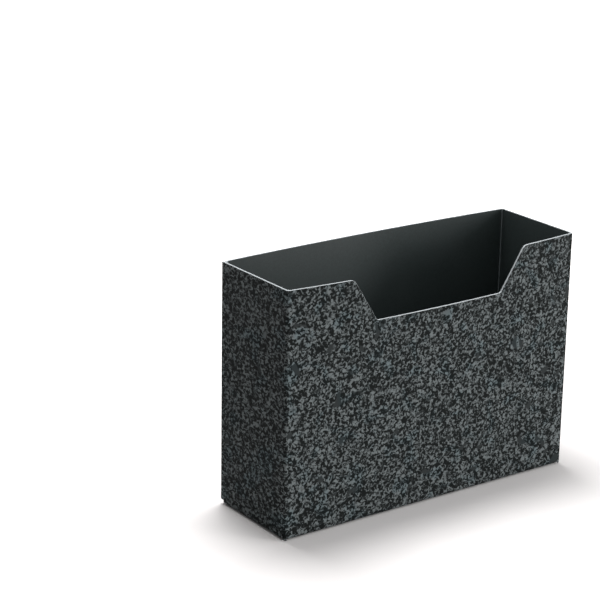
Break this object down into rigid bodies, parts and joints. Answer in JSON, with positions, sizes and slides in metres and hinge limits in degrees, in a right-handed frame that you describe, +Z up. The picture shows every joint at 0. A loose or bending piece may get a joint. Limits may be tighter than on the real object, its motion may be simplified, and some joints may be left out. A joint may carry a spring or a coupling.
{
  "type": "file box",
  "caption": "Open-topped upright box folded from one sheet of solid board, with a slanted finger cut-out in its front panel, for keeping papers on edge.",
  "frame": {"origin": "on the ground under the middle of the box's overall size", "axes": "+Z up, +Y towards the back panel, X along the front; the panel with the cut-out faces -Y"},
  "size_m": [0.23, 0.0796, 0.1635],
  "materials": {
    "printed_board": "satin print with a charcoal and grey marbled speckle, plain charcoal inside, pale cut edges"
  },
  "bodies": {
    "root": {"folded_board": "printed_board"}
  },
  "joints": []
}
